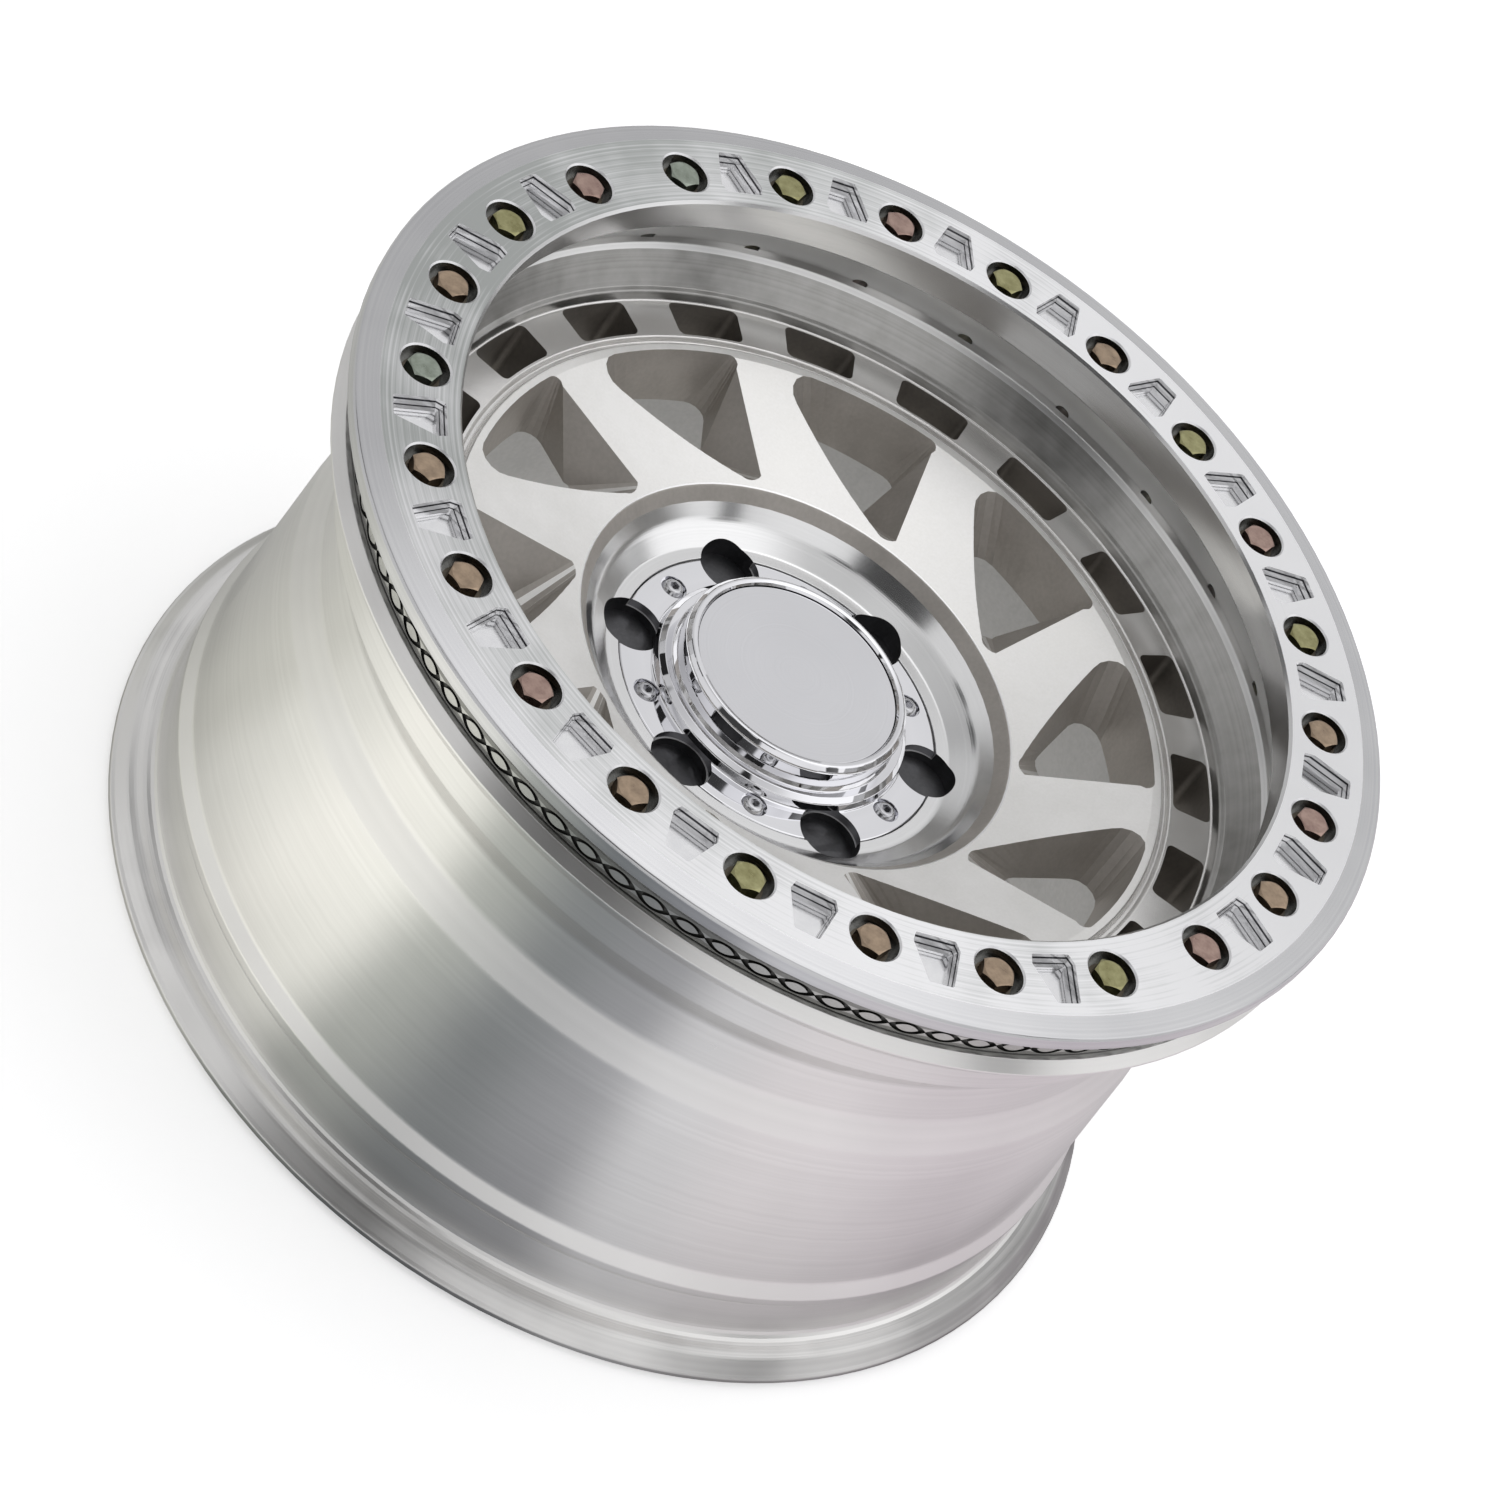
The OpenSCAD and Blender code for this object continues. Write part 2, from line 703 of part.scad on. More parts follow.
// A socket screw with a domed head
module cap_screw() {
    socket_af = cap_screw_head_r * 0.76;
    difference() {
        translate([0, 0, cap_screw_seat_z])
            rotate_extrude()
                polygon(rounded([
                    [0, 0],
                    [cap_screw_head_r, 0],
                    [cap_screw_head_r, 1],
                    [cap_screw_head_r - 1.7, cap_screw_head_h, 2.2],
                    [0, cap_screw_head_h],
                ]));
        translate([0, 0, cap_screw_seat_z + cap_screw_head_h - 2])
            cylinder(r = socket_af / sqrt(3), h = 2 + cut, $fn = 6);
    }
    translate([0, 0, cap_screw_tip_z])
        rotate_extrude()
            polygon([
                [0, 0],
                [cap_screw_d / 2 - 0.7, 0],
                [cap_screw_d / 2, 0.7],
                [cap_screw_d / 2, cap_screw_len + eps],
                [0, cap_screw_len + eps],
            ]);
}

module cap_screws() {
    color([0.75, 0.75, 0.76])
    around(lug_n, 180 / lug_n)
        translate([cap_screw_circle_r, 0, 0])
            cap_screw();
}

wheel();
beadlock_ring();
ring_bolts();
ring_washers();
centre_cap();
cap_disc();
cap_screws();
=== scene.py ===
"""An off-road car wheel, lying on its inboard flange on a white studio floor.

Every length is in metres and every place is in the wheel's own frame: the origin is the centre of the
hub's mounting face, and +Z is the wheel's axis, towards the outer face. The shapes are the CAD nodes
themselves. This script gives each machined, cast or plated face of them its own finish.
"""

import math

import bpy
import numpy as np
from mathutils import Matrix, Vector

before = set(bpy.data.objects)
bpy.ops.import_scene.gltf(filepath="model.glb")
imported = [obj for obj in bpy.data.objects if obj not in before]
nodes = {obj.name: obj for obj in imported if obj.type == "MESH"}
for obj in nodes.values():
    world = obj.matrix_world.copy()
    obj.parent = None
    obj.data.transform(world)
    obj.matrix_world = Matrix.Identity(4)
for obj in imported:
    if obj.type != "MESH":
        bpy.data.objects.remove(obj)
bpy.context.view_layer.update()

MM = 0.001

# Levels of the wheel, in mm above the hub's mounting face
FLOOR_Z = -115.9
FLANGE_Z = -102.0  # the rear flange is behind this
LUG_PAD_Z = 45.8
SPOKE_BACK_Z = 50.6
CAP_RECESS_Z = 60.0  # the recess for the cap's disc is in front of this
DISH_Z = 79.6
CONE_Z = 97.8  # the cone ends and the throat starts
SKIRT_Z = 116.2
BRAID_Z = 120.2
RING_BACK_Z = 124.1
RING_FACE_Z = 141.6

# Radii of the wheel, in mm from its axis. A pair is an inner and an outer radius
CAP_RECESS_R = (45.8, 47.3)
PLATE_R = 74.6
BOWL_R = 100.0
BAND_R = 164.0
SLOT_R = (169.6, 188.4)
STEP_R = 190.6
RING_IN_R = 191.2
POCKET_R = (194.0, 221.0)
THROAT_R = 204.6
INNER_BARREL_R = 214.0
FLANGE_R = 215.0
SKIRT_R = 225.4

# Circles of holes: their radius in mm, the angle between holes in degrees, and the holes' radius in mm
LUG_CIRCLE_R, LUG_STEP, LUG_WELL_R = 69.85, 60.0, 14.0
BOLT_CIRCLE_R, BOLT_STEP, CBORE_R = 206.0, 15.0, 11.6

# Small forms, in mm
POCKET_DEPTH = 6.5
CBORE_EDGE = 2.2
BRAID_HALF = 1.95
BOWL_LIP = 2.0  # the bowl ends this far inside the spokes' start
SKIRT_WALL = 3.0
CONE_DROP = 4.0  # the cone starts this far below the dish's face
# What counts as the ring's face, its back and the dish's face reaches this far past them, in mm
FACE_DROP, BACK_RISE, DISH_DROP = 0.2, 0.1, 0.3


def hex_colour(text, alpha=1.0):
    """An sRGB hex colour as linear RGBA, by the standard curve: a power of 2.4, but straight near black."""
    channels = [int(text[i : i + 2], 16) / 255 for i in (1, 3, 5)]
    linear = [c / 12.92 if c <= 0.04045 else ((c + 0.055) / 1.055) ** 2.4 for c in channels]
    return (*linear, alpha)


def add(tree, kind, links=None, **settings):
    """Adds one node. settings are its properties, and links gives inputs a value, a socket or a node."""
    node = tree.nodes.new(kind)
    for name, value in settings.items():
        setattr(node, name, value)
    for name, value in (links or {}).items():
        if isinstance(value, bpy.types.Node):
            value = value.outputs[0]
        if isinstance(value, bpy.types.NodeSocket):
            tree.links.new(value, node.inputs[name])
        else:
            node.inputs[name].default_value = value
    return node


def new_material(name):
    """An empty node material, its tree and its output."""
    material = bpy.data.materials.new(name)
    material.use_nodes = True
    material.node_tree.nodes.clear()
    return material, material.node_tree, add(material.node_tree, "ShaderNodeOutputMaterial")


def axis_distance(tree, place):
    """The distance of a place from the wheel's axis: the length of its part that lies flat."""
    flat = add(tree, "ShaderNodeVectorMath", {0: place, 1: (1, 1, 0)}, operation="MULTIPLY")
    return add(tree, "ShaderNodeVectorMath", {0: flat}, operation="LENGTH").outputs["Value"]


def fill_ramp(ramp, stops):
    """Gives a colour ramp its stops, each a position from 0 to 1 and a linear RGBA colour."""
    elements = ramp.color_ramp.elements
    while len(elements) < len(stops):
        elements.new(1.0)
    for element, (position, colour) in zip(elements, stops):
        element.position = position
        element.color = colour


# Studio

# The camera, fitted to the photograph: a long lens, above the outer face and rolled to one side
CAMERA_LENS = 118.006
CAMERA_PLACE = (0.43668, 1.49580, 1.36986)
CAMERA_TURN = (
    (-0.87334566, 0.43806158, 0.21300096),
    (-0.16035279, -0.67146831, 0.72347584),
    (0.45995037, 0.59768918, 0.65666833),
)


def studio_camera():
    camera = bpy.data.cameras.new("studio_camera")
    camera.lens = CAMERA_LENS
    camera.sensor_width = 36.0
    camera.clip_end = 50.0
    holder = bpy.data.objects.new("studio_camera", camera)
    bpy.context.scene.collection.objects.link(holder)
    holder.matrix_world = Matrix.Translation(Vector(CAMERA_PLACE)) @ Matrix(CAMERA_TURN).to_4x4()
    bpy.context.scene.camera = holder


# What the metal sees above the floor: softboxes and dark flags on a pale grey room. Each is a round
# patch: azimuth, elevation, radius of its even middle and of its edge, in degrees, and change of level
ROOM_LEVEL = 0.77
ROOM_DARKEST = 0.02
ROOM_PATCHES = (
    (188, 46, 12, 38, 0.36),
    (254, 72, 8, 26, 0.50),
    (112, 34, 6, 30, 0.12),
    (60, 43, 18, 21, -0.72),
    (300, 16, 16, 50, -0.16),
    (110, 72, 8, 24, -0.16),
    (335, 60, 8, 32, -0.22),
)
# Narrow dark gaps between the softboxes, which only chrome shows crisply, in the same form
ROOM_GAPS = (
    (212, 30, 5, 6, -0.8),
    (152, 24, 6, 7, -0.8),
    (330, 34, 7, 8, -0.7),
    (95, 58, 6, 7, -0.7),
    (350, 40, 6, 7, -0.75),
    (160, 36, 6, 7, -0.85),
    (20, 24, 4, 5, -0.75),
)


def studio_world():
    """A white studio, which is plain white to the camera.

    The level in a direction is the room's level plus each patch's change, times a smooth step of the
    cosine of the angle between the direction and the patch's middle.
    """
    world = bpy.data.worlds.new("studio_world")
    bpy.context.scene.world = world
    world.use_nodes = True
    tree = world.node_tree
    tree.nodes.clear()
    direction = add(tree, "ShaderNodeTexCoord").outputs["Generated"]
    level = ROOM_LEVEL
    for patch in ROOM_PATCHES + ROOM_GAPS:
        azimuth, elevation, inner, outer = (math.radians(angle) for angle in patch[:4])
        flat = math.cos(elevation)
        middle = (flat * math.cos(azimuth), flat * math.sin(azimuth), math.sin(elevation))
        facing = add(tree, "ShaderNodeVectorMath", {0: direction, 1: middle}, operation="DOT_PRODUCT")
        ends = {"From Min": math.cos(outer), "From Max": math.cos(inner), "To Max": patch[4]}
        ends["Value"] = facing.outputs["Value"]
        change = add(tree, "ShaderNodeMapRange", ends, interpolation_type="SMOOTHSTEP")
        level = add(tree, "ShaderNodeMath", {0: level, 1: change}, operation="ADD")
    level = add(tree, "ShaderNodeMath", {0: level, 1: ROOM_DARKEST}, operation="MAXIMUM")
    ray = add(tree, "ShaderNodeLightPath")
    room = add(tree, "ShaderNodeBackground", {"Color": hex_colour("#fefeff"), "Strength": level})
    white = add(tree, "ShaderNodeBackground", {"Color": (1, 1, 1, 1), "Strength": 1.0})
    seen = add(tree, "ShaderNodeMixShader", {0: ray.outputs["Is Camera Ray"], 1: room, 2: white})
    add(tree, "ShaderNodeOutputWorld", {"Surface": seen})


# The floor in the barrel's reflection, by azimuth round the wheel: its level and tint
FLOOR_LEVELS = (
    (0, 0.64, "#fffff6"),
    (12, 0.82, "#fffff8"),
    (30, 1.04, "#fffef7"),
    (42, 1.02, "#fffff8"),
    (54, 0.46, "#fafff8"),
    (70, 0.24, "#f4fbff"),
    (87, 0.35, "#f6f8ff"),
    (99, 0.72, "#fbfbff"),
    (117, 0.76, "#fffafe"),
    (150, 0.66, "#fff6fd"),
    (200, 0.60, "#fffafe"),
    (290, 0.52, "#ffffff"),
    (330, 0.48, "#fffffa"),
    (360, 0.64, "#fffff6"),
)
# The same by distance from the axis, in metres: a painted shadow, dark where the flange stands, bright further
# out
FLOOR_REACH = (
    (0.0, 0.4),
    (0.238, 0.4),
    (0.252, 0.62),
    (0.275, 0.96),
    (0.31, 0.94),
    (0.37, 1.12),
    (0.6, 1.1),
    (1.0, 1.3),
)
FLOOR_R = 6.0
FLOOR_SIDES = 96
# The floor's own light to the camera, which makes it white, and what it bounces on to the wheel
FLOOR_LIFT = 0.40
FLOOR_BOUNCE = 0.85
# The lit patch inside the rim: its radius in metres, and its level to the metal and to the camera, to which it
# shows a grey of painted shade under the wheel
PATCH_R = 0.205
PATCH_LEVEL, PATCH_SEEN = 1.0, 0.25


def studio_floor():
    """A round white floor, with a softly lit patch inside the rim that shines up into the barrel, and that the
    camera sees as a grey of painted shade.

    Its edge is FLOOR_R times the cosine and sine of a full turn's even steps. The camera sees it plain
    white, with the wheel's shadow, and metal sees it by azimuth and distance as listed above.
    """
    mesh = bpy.data.meshes.new("studio_floor")
    turns = np.linspace(0, 2 * math.pi, FLOOR_SIDES, endpoint=False)
    height = np.full(FLOOR_SIDES, FLOOR_Z * MM)
    rim = np.stack([FLOOR_R * np.cos(turns), FLOOR_R * np.sin(turns), height], 1)
    mesh.from_pydata(rim.tolist(), [], [list(range(FLOOR_SIDES))])
    floor = bpy.data.objects.new("studio_floor", mesh)
    bpy.context.scene.collection.objects.link(floor)
    material, tree, out = new_material("white_studio_floor")
    ray = add(tree, "ShaderNodeLightPath")
    place = add(tree, "ShaderNodeTexCoord").outputs["Object"]
    part = add(tree, "ShaderNodeSeparateXYZ", {0: place})
    angle = add(tree, "ShaderNodeMath", {0: part.outputs[1], 1: part.outputs[0]}, operation="ARCTAN2")
    turn = add(tree, "ShaderNodeMath", {0: angle, 1: 1 / (2 * math.pi)}, operation="MULTIPLY")
    turn = add(tree, "ShaderNodeMath", {0: turn, 1: 1.0, 2: 0.0}, operation="WRAP")
    ramp = add(tree, "ShaderNodeValToRGB", {"Fac": turn})
    ramp.color_ramp.interpolation = "EASE"
    around = ((azimuth / 360, level, hex_colour(tint)) for azimuth, level, tint in FLOOR_LEVELS)
    fill_ramp(ramp, [(share, [level * channel for channel in colour]) for share, level, colour in around])
    radius = axis_distance(tree, place)
    inside = add(tree, "ShaderNodeMath", {0: radius, 1: PATCH_R}, operation="LESS_THAN")
    reach = add(tree, "ShaderNodeValToRGB", {"Fac": radius})
    fill_ramp(reach, [(distance, (level, level, level, 1)) for distance, level in FLOOR_REACH])
    matt = add(tree, "ShaderNodeBsdfDiffuse", {"Color": (1, 1, 1, 1)})
    lift = add(tree, "ShaderNodeEmission", {"Color": (1, 1, 1, 1), "Strength": FLOOR_LIFT})
    white = add(tree, "ShaderNodeAddShader", {0: matt, 1: lift})
    bounce = add(tree, "ShaderNodeBsdfDiffuse", {"Color": (FLOOR_BOUNCE, FLOOR_BOUNCE, FLOOR_BOUNCE, 1)})
    mirrored = add(tree, "ShaderNodeEmission", {"Color": ramp, "Strength": reach})
    seen = ray.outputs["Is Camera Ray"]
    outside = add(tree, "ShaderNodeMixShader", {0: ray.outputs["Is Glossy Ray"], 1: bounce, 2: mirrored})
    outside = add(tree, "ShaderNodeMixShader", {0: seen, 1: outside, 2: white})
    fall = PATCH_SEEN - PATCH_LEVEL
    glow = add(tree, "ShaderNodeMath", {0: seen, 1: fall, 2: PATCH_LEVEL}, operation="MULTIPLY_ADD")
    under = add(tree, "ShaderNodeEmission", {"Color": hex_colour("#f4f2ee"), "Strength": glow})
    both = add(tree, "ShaderNodeMixShader", {0: inside, 1: outside, 2: under})
    tree.links.new(both.outputs[0], out.inputs["Surface"])
    mesh.materials.append(material)


# Finishes

# A lathe's feed and a blasted grain are near 0.3 mm. Both are drawn about 1 to 2 mm wide here, so that they
# show in a picture of the whole wheel. A noise is mostly between the two values of CLOUD_SPAN
CLOUD_SPAN = {"From Min": 0.3, "From Max": 0.7}
TONE_START = 0.5
# The share of the height in the number that the turned rings follow
RISE_SHARE = 0.63
# How strongly the rings and the grain show in the tone, next to the clouds
RING_SHARE, GRAIN_SHARE = 0.5, 0.4
# The clouds that roughen a milled wall, and how far they stand out, in mm
MILL_CLOUD, MILL_DEPTH = 4.0, 0.02


def tone(tree, value, top, dark, light):
    """A colour that goes evenly from dark to light as the value goes from TONE_START to top."""
    amount = add(tree, "ShaderNodeMapRange", {"Value": value, "From Min": TONE_START, "From Max": top})
    ends = {0: amount, 6: hex_colour(dark), 7: hex_colour(light)}
    return add(tree, "ShaderNodeMix", ends, data_type="RGBA").outputs[2]


def close_metal(tree, out, roughness, spread, clouds, height, depth, **settings):
    """Ends a metal: the clouds spread its roughness between two shares of it, and height gives a bump.

    depth is how far the bump stands out, in mm, and settings are the rest of the shader's inputs.
    """
    ends = {"To Min": spread[0] * roughness, "To Max": spread[1] * roughness}
    rough = add(tree, "ShaderNodeMapRange", {"Value": clouds, **CLOUD_SPAN, **ends})
    bump = add(tree, "ShaderNodeBump", {"Height": height, "Strength": 1.0, "Distance": depth * MM})
    shader = add(tree, "ShaderNodeBsdfPrincipled", {**settings, "Roughness": rough, "Normal": bump})
    tree.links.new(shader.outputs[0], out.inputs["Surface"])


def turned_metal(
    name, light, dark, roughness, anisotropy, pitch, depth, patch=55.0, towards=(0, 0, 0), twin=(0, 0, 0)
):
    """Turned metal: fine rings round the axis, which draw a highlight out across them.

    The rings are a noise of one number along the profile, the radius plus RISE_SHARE times the height, so
    they circle the axis on flat faces, cones and barrels alike. pitch is the spacing of the tool's lines and
    patch the size of the faint clouds, both in mm, and depth is the height of the lines in mm. towards is
    the direction of painted light, in which the metal turns lighter and away from which it turns darker, with
    its strength for each metre, and twin one of painted highlights, lighter both ways, with the square of the
    distance.
    """
    material, tree, out = new_material(name)
    coordinates = add(tree, "ShaderNodeTexCoord")
    place = coordinates.outputs["Object"]
    part = add(tree, "ShaderNodeSeparateXYZ", {0: place})
    radius = axis_distance(tree, place)
    profile = {0: part.outputs[2], 1: RISE_SHARE, 2: radius}
    along = add(tree, "ShaderNodeMath", profile, operation="MULTIPLY_ADD")
    scale = {"Scale": 1 / (pitch * MM), "Detail": 2.0, "Roughness": 0.6}
    rings = add(tree, "ShaderNodeTexNoise", {"W": along, **scale}, noise_dimensions="1D")
    clouds = add(tree, "ShaderNodeTexNoise", {"Vector": place, "Scale": 1 / (patch * MM), "Detail": 3.0})
    both = add(tree, "ShaderNodeMath", {0: rings, 1: RING_SHARE, 2: clouds}, operation="MULTIPLY_ADD")
    # Painted light and shade: towards and twin make the tone lighter or darker by direction
    side = add(tree, "ShaderNodeVectorMath", {0: place, 1: towards}, operation="DOT_PRODUCT")
    both = add(tree, "ShaderNodeMath", {0: both, 1: side.outputs["Value"]}, operation="ADD")
    pair = add(tree, "ShaderNodeVectorMath", {0: place, 1: twin}, operation="DOT_PRODUCT").outputs["Value"]
    both = add(tree, "ShaderNodeMath", {0: pair, 1: pair, 2: both}, operation="MULTIPLY_ADD")
    circle = add(tree, "ShaderNodeVectorMath", {0: (0, 0, 1), 1: place}, operation="CROSS_PRODUCT")
    facing = coordinates.outputs["Normal"]
    across = add(tree, "ShaderNodeVectorMath", {0: circle, 1: facing}, operation="CROSS_PRODUCT")
    metal = {"Base Color": tone(tree, both, 1.0, dark, light), "Metallic": 1.0, "Tangent": across}
    metal["Anisotropic"] = anisotropy
    close_metal(tree, out, roughness, (0.9, 1.12), clouds, rings, depth, **metal)
    return material


def grained_metal(name, light, dark, roughness, grain, depth, metallic=1.0, patch=30.0):
    """Blasted, cast or plated metal: an even grain with soft clouds.

    Its tone follows GRAIN_SHARE times the grain's noise plus the clouds' noise. grain and patch are the
    sizes of the two in mm, and depth is how far the grain stands out, in mm.
    """
    material, tree, out = new_material(name)
    place = add(tree, "ShaderNodeTexCoord").outputs["Object"]
    fine = add(tree, "ShaderNodeTexNoise", {"Vector": place, "Scale": 1 / (grain * MM), "Detail": 2.0})
    clouds = add(tree, "ShaderNodeTexNoise", {"Vector": place, "Scale": 1 / (patch * MM), "Detail": 3.0})
    both = add(tree, "ShaderNodeMath", {0: fine, 1: GRAIN_SHARE, 2: clouds}, operation="MULTIPLY_ADD")
    metal = {"Base Color": tone(tree, both, 0.9, dark, light), "Metallic": metallic}
    close_metal(tree, out, roughness, (0.88, 1.15), clouds, fine, depth, **metal)
    return material


# Depths on a milled wall, as shares of it, where its painted reflection turns: bright, dull, bright, dull and
# bright
PAINTED_REFLECTION_TURNS = (0.0, 0.18, 0.22, 0.32, 0.36, 0.62, 0.66, 0.72, 0.76)


def milled_wall_painted_reflections(name, bright, dull, roughness, top, tall):
    """Milled pocket wall with painted reflections: two dull painted bands lie between its bright top edge and
    its bright foot.

    The tone is a ramp over the depth below the ring's face, from top to top minus tall, both in mm.
    """
    material, tree, out = new_material(name)
    place = add(tree, "ShaderNodeTexCoord").outputs["Object"]
    part = add(tree, "ShaderNodeSeparateXYZ", {0: place})
    down = {"From Min": top * MM, "From Max": (top - tall) * MM}
    down = add(tree, "ShaderNodeMapRange", {"Value": part.outputs[2], **down})
    ramp = add(tree, "ShaderNodeValToRGB", {"Fac": down})
    tones = (bright, bright, dull, dull, bright, bright, dull, dull, bright)
    fill_ramp(ramp, [(turn, hex_colour(colour)) for turn, colour in zip(PAINTED_REFLECTION_TURNS, tones)])
    scale = {"Scale": 1 / (MILL_CLOUD * MM), "Detail": 2.0}
    clouds = add(tree, "ShaderNodeTexNoise", {"Vector": place, **scale})
    metal = {"Base Color": ramp, "Metallic": 0.5}
    close_metal(tree, out, roughness, (0.7, 1.4), clouds, clouds, MILL_DEPTH, **metal)
    return material


# Faces


class Faces:
    """A CAD node's faces: radius, height and azimuth of their middles in mm and degrees, and how they face.

    up is how far a face turns to the outer side, and out how far it turns away from the axis. Both go
    from -1 to 1, as the parts of the face's unit normal along the axis and along the radius.
    """

    def __init__(self, name):
        self.mesh = nodes[name].data
        count = len(self.mesh.polygons)
        middle = np.empty(3 * count)
        facing = np.empty(3 * count)
        self.mesh.polygons.foreach_get("center", middle)
        self.mesh.polygons.foreach_get("normal", facing)
        self.x, self.y, self.z = middle.reshape(-1, 3).T / MM
        self.r = np.hypot(self.x, self.y)
        self.azimuth = np.degrees(np.arctan2(self.y, self.x)) % 360
        normal = facing.reshape(-1, 3)
        self.up = normal[:, 2]
        self.out = (normal[:, 0] * self.x + normal[:, 1] * self.y) / np.maximum(self.r, 1e-6)

    def between(self, inner, outer):
        """Faces whose middle is between two radii."""
        return (self.r > inner) & (self.r < outer)

    def near(self, circle_r, step, start, reach):
        """Faces within reach of the nearest of the axes on a circle, one every step degrees from start."""
        turn = (self.azimuth - start + step / 2) % step - step / 2
        along = self.r * np.cos(np.radians(turn)) - circle_r
        beside = self.r * np.sin(np.radians(turn))
        return np.hypot(along, beside) < reach

    def dress(self, default, zones=()):
        """Gives every face the default finish, and then each zone's faces theirs, later zones on top."""
        slots = self.mesh.materials
        slots.clear()
        slots.append(default)
        index = np.zeros(len(self.r), dtype=np.int32)
        for number, (finish, where) in enumerate(zones, start=1):
            slots.append(finish)
            index[where] = number
        self.mesh.polygons.foreach_set("material_index", index)
        self.mesh.update()


# A face's middle counts as at a level or radius when it is within this, in mm
NEAR = 0.5
# How far a face turns up or out, from hardly at all to almost fully
HARDLY, LITTLE, HALF, MOSTLY, NEARLY, FULLY = 0.1, 0.3, 0.5, 0.6, 0.85, 0.9
# Painted light and shade: the rear flange is painted lighter towards azimuth 10, and darker on its far side
FLANGE_PAINTED_LIGHT = (1.15, 0.2, 0)
# Below, a turned metal's numbers are its roughness, how far it draws highlights out, and the pitch and
# depth of its lines. A grained metal's are its roughness, and the size and depth of its grain


def dress_wheel():
    """The casting: turned outside and in the throat, blasted on the spokes, polished in the hub's bowl."""
    wheel = Faces("wheel")
    # Satin turned aluminium: fine rings, which draw the room out into soft bands down the barrel
    barrel = turned_metal("turned_aluminium_barrel", "#f0efed", "#e3e2e0", 0.3, 0.6, 1.5, 0.0005, 80.0)
    # The same on the rear flange, with painted shade: its far side is painted darker
    tones = ("#eeedeb", "#a9a8a7")
    flange = turned_metal("turned_aluminium_flange_painted_shade", *tones, 0.3, 0.6, 1.5, 0.0005, 80.0, FLANGE_PAINTED_LIGHT)
    # Rough turned aluminium: flat, dull grey behind the spokes
    inside = grained_metal("rough_turned_aluminium_back", "#b9b9b9", "#a6a6a6", 0.5, 2.0, 0.01, metallic=0.5)
    # Turned aluminium in the mouth of the wheel: blurred rings, mid grey
    throat = turned_metal("turned_aluminium_throat", "#ececeb", "#dcdcdb", 0.34, 0.5, 1.4, 0.0015)
    # The cone under it is turned coarser and a little darker, with small clouds
    cone = turned_metal("turned_aluminium_cone", "#b8b7b5", "#a09f9c", 0.32, 0.45, 1.6, 0.0012, 12.0)
    # Blasted aluminium: silky on the band, and nearly matt and white on the spokes
    band = grained_metal("blasted_aluminium_band", "#f3f2f0", "#e6e4e2", 0.22, 1.4, 0.006, metallic=0.8)
    spokes = grained_metal("blasted_aluminium_spokes", "#faf9f7", "#efeeeb", 0.4, 1.2, 0.008, metallic=0.8)
    # Polished aluminium: a clear dark wedge between broad highlights
    bowl = turned_metal("polished_aluminium_bowl", "#efefef", "#e6e6e6", 0.19, 0.3, 1.2, 0.0004)
    # As cast: warm grey and dull. The narrow slots are painted darker, as the shade in them
    walls = grained_metal("cast_aluminium_window_walls", "#bdb8b2", "#aaa59f", 0.5, 1.8, 0.03, metallic=0.5)
    slots = grained_metal("cast_aluminium_slot_walls_painted_shade", "#79736c", "#67625c", 0.55, 1.8, 0.03, metallic=0.5)
    # Black coated aluminium, where the wrench's socket reaches in: charcoal with a soft shine
    wells = grained_metal("black_coated_aluminium_wells", "#6a6a6c", "#58585a", 0.42, 1.6, 0.02)
    back = (wheel.r < INNER_BARREL_R) & (wheel.z < SPOKE_BACK_Z + NEAR)
    inward = (wheel.out < 0) | (wheel.up < -HALF) | (wheel.r < BOWL_R)
    ahead = (wheel.out < HARDLY) | (wheel.up > HALF)
    front = (wheel.z > SPOKE_BACK_Z + NEAR) & (wheel.r < THROAT_R) & ahead
    within = (wheel.z > SPOKE_BACK_Z) & (wheel.z < DISH_Z - DISH_DROP) & (np.abs(wheel.up) < NEARLY)
    rising = (wheel.z < CONE_Z) & (wheel.z > DISH_Z - CONE_DROP) & (wheel.r > SLOT_R[1])
    on_band = wheel.between(BAND_R, STEP_R) & (wheel.z < DISH_Z + 2 * NEAR) & (wheel.up > LITTLE)
    on_spokes = wheel.between(BOWL_R - BOWL_LIP, BAND_R) & (wheel.up > MOSTLY)
    in_bowl = wheel.between(PLATE_R, BOWL_R + 2 * NEAR) & (wheel.z > LUG_PAD_Z - NEAR) & (wheel.up > LITTLE)
    in_slots = wheel.between(SLOT_R[0] - NEAR, SLOT_R[1]) & (np.abs(wheel.up) < HALF)
    wheel.dress(
        barrel,
        (
            (flange, (wheel.z < FLANGE_Z) & (wheel.r > FLANGE_R)),
            (inside, back & inward),
            (throat, front & (wheel.z > CONE_Z)),
            (cone, front & rising),
            (band, front & on_band),
            (spokes, front & on_spokes),
            (bowl, in_bowl),
            (walls, within & wheel.between(BOWL_R - 2 * BOWL_LIP, BAND_R - NEAR)),
            (slots, within & in_slots),
            (wells, wheel.near(LUG_CIRCLE_R, LUG_STEP, 0, LUG_WELL_R) & (wheel.z > NEAR)),
        ),
    )


# Painted light: the ring's face is painted lighter towards azimuth 180, and painted highlights make it lighter
# both ways along azimuth 57
RING_PAINTED_LIGHT = (-1.5, 0, 0)
RING_PAINTED_HIGHLIGHTS = (1.47, 2.27, 0)


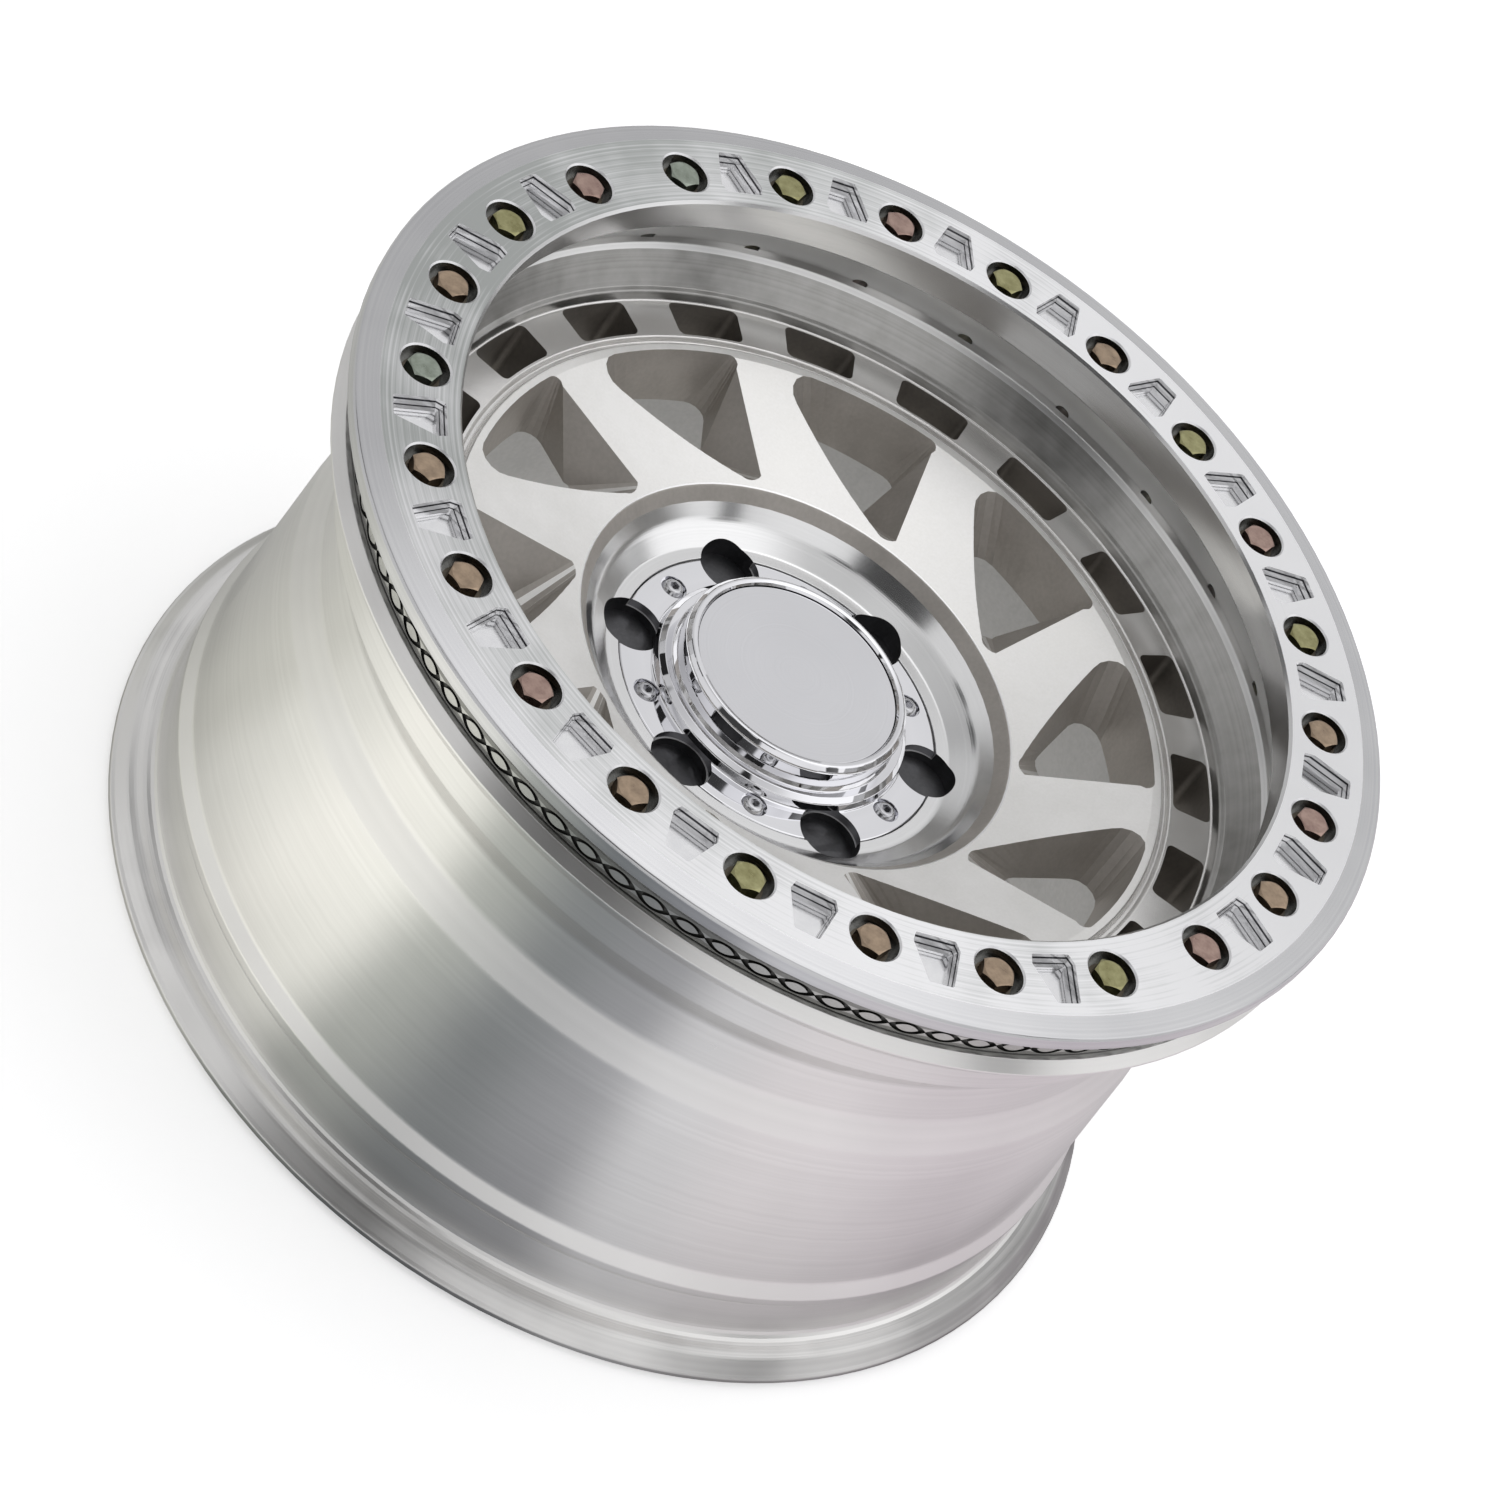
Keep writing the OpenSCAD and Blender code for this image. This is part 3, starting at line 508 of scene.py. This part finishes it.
def dress_ring():
    """The bolted ring: fine turned face with painted highlights, bright rim, milled pockets with painted
    reflections on their walls, and a dull skirt in painted shade with a raised braid.
    """
    ring = Faces("beadlock_ring")
    # Fine turned aluminium with painted highlights: broad soft lobes of painted light across faint rings
    tones = ("#fafafb", "#b8bbb9")
    lobes = {"towards": RING_PAINTED_LIGHT, "twin": RING_PAINTED_HIGHLIGHTS}
    face = turned_metal("fine_turned_aluminium_face_painted_highlights", *tones, 0.38, 0.85, 1.1, 0.0006, **lobes)
    # Turned with a sharp tool: the bevel round the ring and the edge of its opening shine more
    rim = turned_metal("bright_turned_aluminium_rim", "#d3d3d4", "#c7c7c9", 0.16, 0.4, 1.1, 0.0008)
    opening = turned_metal("turned_aluminium_opening", "#dedede", "#cecece", 0.2, 0.5, 1.2, 0.001)
    # Milled aluminium: nearly white pockets, with two painted dark reflection bands along each wall
    pockets = grained_metal("milled_aluminium_pockets", "#fafafb", "#f0f0f2", 0.14, 1.0, 0.001, patch=9.0)
    steps = milled_wall_painted_reflections("milled_aluminium_walls_painted_reflections", "#f8f8f9", "#3c3c40", 0.08, RING_FACE_Z, POCKET_DEPTH)
    # Deburred aluminium: a thin white crescent round each counterbore
    edges = grained_metal("deburred_aluminium_edges", "#fafafb", "#f0f0f2", 0.4, 1.0, 0.001, patch=9.0)
    # Drilled aluminium, painted a plain darker grey as shade on the walls round the bolts' heads
    counterbore = turned_metal("drilled_aluminium_counterbores_painted_shade", "#a8a8a6", "#8e8e8c", 0.22, 0.3, 1.0, 0.003)
    # Tumbled aluminium under the rim, with painted shade and highlight: grey for the ring's shade, darker
    # still in the grooves, lighter on the braid's raised islands
    skirt = grained_metal("tumbled_aluminium_skirt_painted_shade", "#9a9a97", "#898986", 0.4, 0.9, 0.01)
    groove = grained_metal("tumbled_aluminium_grooves_painted_shade", "#5c5c5a", "#4c4c4a", 0.45, 0.9, 0.01)
    braid = grained_metal("tumbled_aluminium_braid_painted_highlight", "#c9c9c6", "#b5b5b2", 0.28, 0.9, 0.006)
    top = ring.z > RING_FACE_Z - FACE_DROP
    sunk = ~top & (ring.z > RING_BACK_Z + NEAR) & ring.between(*POCKET_R)
    bored = ~top & ring.near(BOLT_CIRCLE_R, BOLT_STEP, BOLT_STEP / 2, CBORE_R)
    below = (ring.z < RING_BACK_Z + BACK_RISE) & (ring.z > SKIRT_Z - NEAR)
    on_skirt = below & ring.between(SKIRT_R - SKIRT_WALL, SKIRT_R + NEAR)
    proud = on_skirt & (ring.r > SKIRT_R - NEAR) & (ring.out > FULLY)
    ring.dress(
        face,
        (
            (rim, (ring.r > SKIRT_R) & (ring.z > RING_BACK_Z)),
            (opening, ~top & (ring.r < RING_IN_R)),
            (pockets, sunk & (ring.z > RING_FACE_Z - POCKET_DEPTH - NEAR)),
            (steps, sunk & (ring.z > RING_FACE_Z - POCKET_DEPTH) & (ring.up < HALF)),
            (counterbore, bored),
            (edges, bored & (ring.z > RING_FACE_Z - CBORE_EDGE) & (ring.up > HALF)),
            (groove, on_skirt),
            (skirt, proud),
            (braid, proud & (np.abs(ring.z - BRAID_Z) < BRAID_HALF)),
        ),
    )


# Passivated zinc takes a slightly different colour on every bolt: bronze, olive, grey-green or pink. Each
# letter is the finish of one bolt, in the order of their azimuths
BOLT_TINTS = "gbbpbobbopbpbopobopogpob"
BOLT_METAL = {"roughness": 0.3, "grain": 1.2, "depth": 0.006, "patch": 5.0}


def dress_bolts():
    """The ring's bolts, each in its own zinc colour, with a soft shine on the flats of its head."""
    bolts = Faces("ring_bolts")
    finishes = {
        "b": grained_metal("bronze_zinc_plate", "#b29d87", "#948270", **BOLT_METAL),
        "o": grained_metal("olive_zinc_plate", "#aca97f", "#8e8a62", **BOLT_METAL),
        "g": grained_metal("grey_green_zinc_plate", "#a3aba0", "#889084", **BOLT_METAL),
        "p": grained_metal("pink_zinc_plate", "#b49b90", "#987f77", **BOLT_METAL),
    }
    number = np.floor(bolts.azimuth / BOLT_STEP).astype(int)
    letters = np.array(list(BOLT_TINTS))[number]
    default = finishes.pop("b")
    bolts.dress(default, [(finish, letters == letter) for letter, finish in finishes.items()])


def dress_small_parts():
    """The washers, the cap, its disc and its screws."""
    # Zinc plate, painted darker as shade, since the washers sit at the foot of the counterbores
    washer = grained_metal("zinc_plate_painted_shade", "#6e675c", "#5a544b", 0.4, 1.0, 0.01)
    # Chrome plate: a mirror of the room, hardly waved. Painted shade draws a dark line round the disc, on the
    # recess's wall
    chrome = turned_metal("chrome_plate", "#f2f2f5", "#ececef", 0.03, 0.0, 6.0, 0.0002)
    recess = turned_metal("chrome_recess_painted_shade", "#56565a", "#47474b", 0.14, 0.0, 2.0, 0.0002)
    # Satin chrome: an even pale grey
    disc = turned_metal("satin_chrome_disc", "#e6e6e9", "#e0e0e3", 0.12, 0.2, 0.9, 0.0001)
    # Turned steel: bright heads round a dark socket
    screw = turned_metal("turned_steel_screws", "#d2d2d4", "#bdbdc0", 0.16, 0.0, 1.0, 0.002)
    cap = Faces("centre_cap")
    sunk = cap.between(*CAP_RECESS_R) & (np.abs(cap.up) < LITTLE) & (cap.z > CAP_RECESS_Z)
    cap.dress(chrome, ((recess, sunk),))
    Faces("ring_washers").dress(washer)
    Faces("cap_disc").dress(disc)
    Faces("cap_screws").dress(screw)


bpy.context.scene.view_settings.view_transform = "Standard"
studio_camera()
studio_world()
studio_floor()
dress_wheel()
dress_ring()
dress_bolts()
dress_small_parts()
